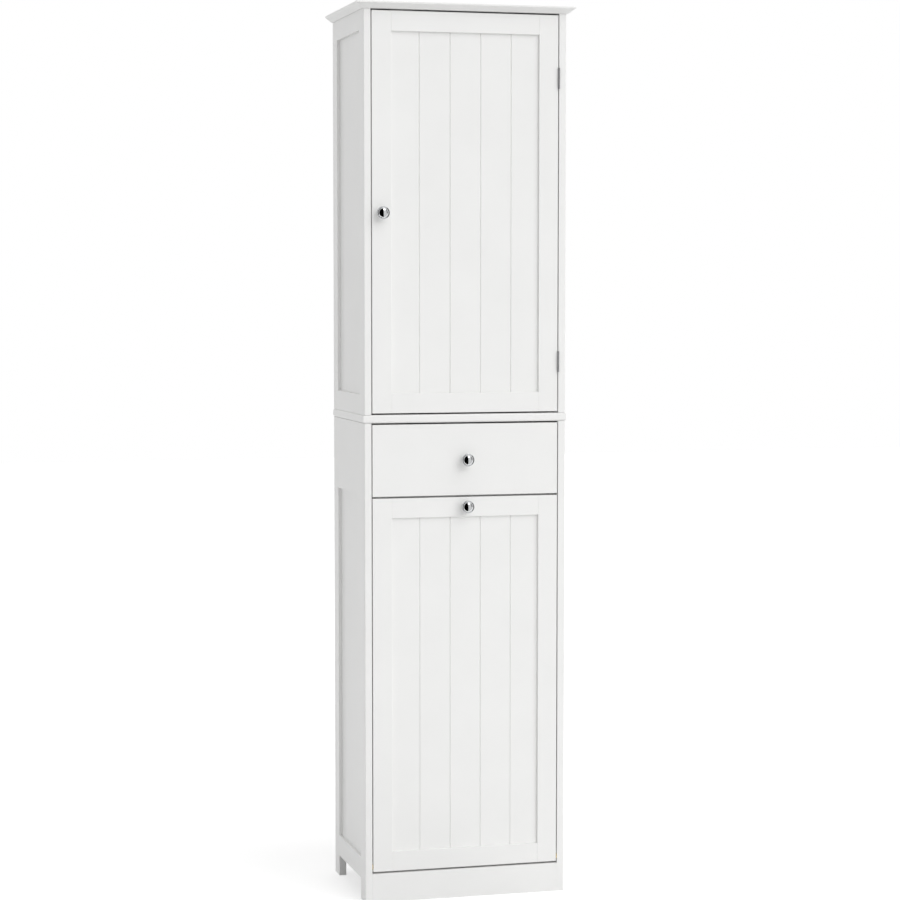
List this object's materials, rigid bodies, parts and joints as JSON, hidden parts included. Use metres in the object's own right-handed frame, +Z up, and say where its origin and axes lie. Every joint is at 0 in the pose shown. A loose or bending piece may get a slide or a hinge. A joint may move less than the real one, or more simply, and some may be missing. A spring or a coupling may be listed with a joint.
{
  "type": "tall bathroom cabinet",
  "caption": "Tall narrow bathroom cabinet: a framed tongue-and-groove door with shelves above, a drawer on roller runners and a tip-out laundry front with a hanging bag below.",
  "frame": {"origin": "on the floor, under the middle of the whole object with its crown and knobs", "axes": "+X towards the hinge side of the door, seen from the front on the right; +Y towards the wall behind; +Z up"},
  "size_m": [0.43, 0.297, 1.7205],
  "materials": {
    "paint": "white satin paint over board",
    "chrome": "polished chrome plate",
    "steel": "nickel plated steel",
    "zinc": "bright zinc plated sheet steel",
    "brass": "turned brass",
    "wire": "white powder coat",
    "cloth": "plain woven cotton",
    "dowel": "bare beech",
    "roller": "white nylon",
    "catch": "white moulded plastic"
  },
  "bodies": {
    "carcass": {"crown_board": "paint", "mid_board": "paint", "base_board": "paint", "plinth_board": "paint", "divider_rail": "paint", "left_lower_frame": "paint", "left_lower_panel": "paint", "left_upper_frame": "paint", "left_upper_panel": "paint", "right_lower_frame": "paint", "right_lower_panel": "paint", "right_upper_frame": "paint", "right_upper_panel": "paint", "lower_back_panel": "paint", "upper_back_panel": "paint", "lower_shelf": "paint", "upper_shelf": "paint", "shelf_pins": "steel", "carcass_dowels": "dowel", "carcass_screws": "steel", "frame_hinge_leaves": "steel", "hinge_pins": "steel", "magnetic_catches": "catch", "wall_brackets": "steel", "pivot_pins": "brass", "stay_studs": "steel", "runner_channels": "zinc"},
    "door": {"door_left_stile": "paint", "door_right_stile": "paint", "door_top_rail": "paint", "door_bottom_rail": "paint", "door_bead_panel": "paint", "door_knob": "chrome", "door_hinge_leaves": "steel", "door_strike_plate": "zinc", "door_screws": "steel"},
    "drawer": {"drawer_front": "paint", "drawer_left_side": "paint", "drawer_right_side": "paint", "drawer_back": "paint", "drawer_bottom": "paint", "drawer_knob": "chrome", "drawer_runner_rails": "zinc", "drawer_screws": "steel"},
    "hamper": {"hamper_left_stile": "paint", "hamper_right_stile": "paint", "hamper_top_rail": "paint", "hamper_bottom_rail": "paint", "hamper_bead_panel": "paint", "hamper_knob": "chrome", "hamper_strike_plate": "zinc", "hamper_screws": "steel", "stay_arms": "steel", "bag_hoop": "wire", "bag_brackets": "wire", "laundry_bag": "cloth"},
    "cabinet_rollers": {"cabinet_rollers": "roller"},
    "drawer_rollers": {"drawer_rollers": "roller"}
  },
  "joints": [
    {"name": "door_hinge", "type": "hinge", "parent": "carcass", "child": "door", "pos_m": [0.185, -0.1257, 1.313], "axis": [0, 0, 1], "range_deg": [0, 170]},
    {"name": "drawer_slide", "type": "slide", "parent": "carcass", "child": "drawer", "axis": [0, -1, 0], "range_m": [0, 0.17]},
    {"name": "hamper_tilt", "type": "hinge", "parent": "carcass", "child": "hamper", "pos_m": [0, -0.1175, 0.069], "axis": [1, 0, 0], "range_deg": [0, 30]},
    {"name": "cabinet_roller_spin", "type": "hinge", "parent": "carcass", "child": "cabinet_rollers", "pos_m": [0, -0.0935, 0.8395], "axis": [1, 0, 0], "range_deg": [0, 1220]},
    {"name": "drawer_roller_spin", "type": "hinge", "parent": "drawer", "child": "drawer_rollers", "pos_m": [0, 0.1025, 0.8395], "axis": [1, 0, 0], "range_deg": [0, 1220]}
  ],
  "couplings": [
    {"joint": "cabinet_roller_spin", "follows": "drawer_slide", "rad_per_m": 125},
    {"joint": "drawer_roller_spin", "follows": "drawer_slide", "rad_per_m": 125}
  ]
}
